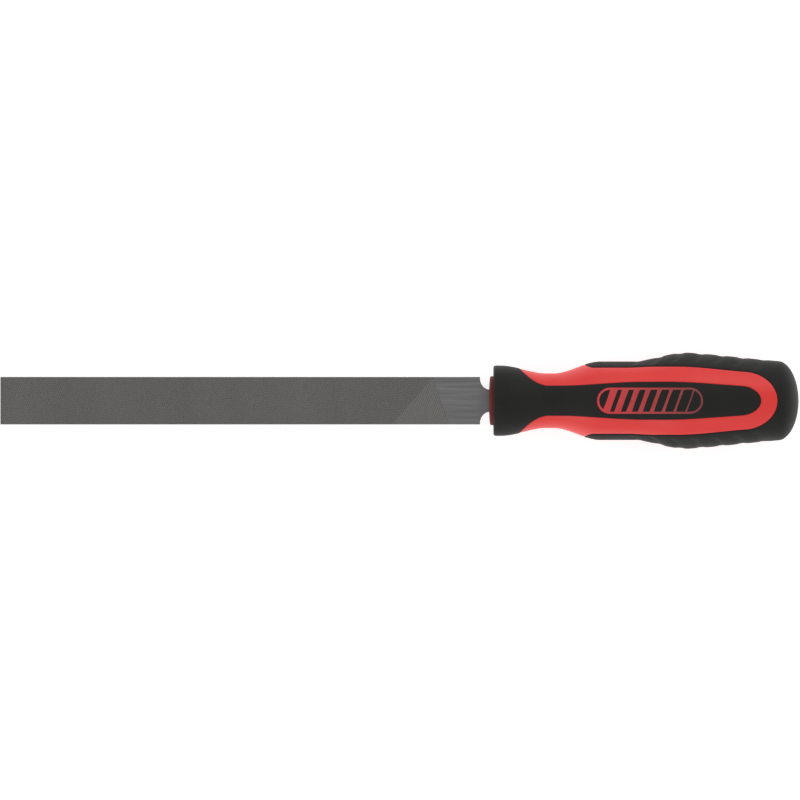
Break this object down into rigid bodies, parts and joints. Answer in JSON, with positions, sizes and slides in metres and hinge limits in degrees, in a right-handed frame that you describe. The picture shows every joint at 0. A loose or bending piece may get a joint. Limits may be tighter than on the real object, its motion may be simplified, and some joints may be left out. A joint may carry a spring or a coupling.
{
  "type": "flat hand file with handle",
  "caption": "Flat engineer's file with a double-cut steel blade, smooth heel, and a two-component handle with soft grips and crescent-shaped finger grooves.",
  "frame": {"origin": "centre of the whole tool's box, on the axis of blade and handle", "axes": "+X along the tool from the point of the file to the butt of the handle, +Y across the blade, +Z square to the working face on the side with the mark"},
  "size_m": [0.3328, 0.0402, 0.0354],
  "materials": {
    "file_steel": "satin",
    "core_plastic": "semi-gloss",
    "grip_rubber": "matt",
    "mark_plastic": "satin"
  },
  "bodies": {
    "root": {"file_blade": "file_steel", "handle_core": "core_plastic", "front_grip": "grip_rubber", "rear_grip": "grip_rubber", "badge_top": "mark_plastic"}
  },
  "joints": []
}
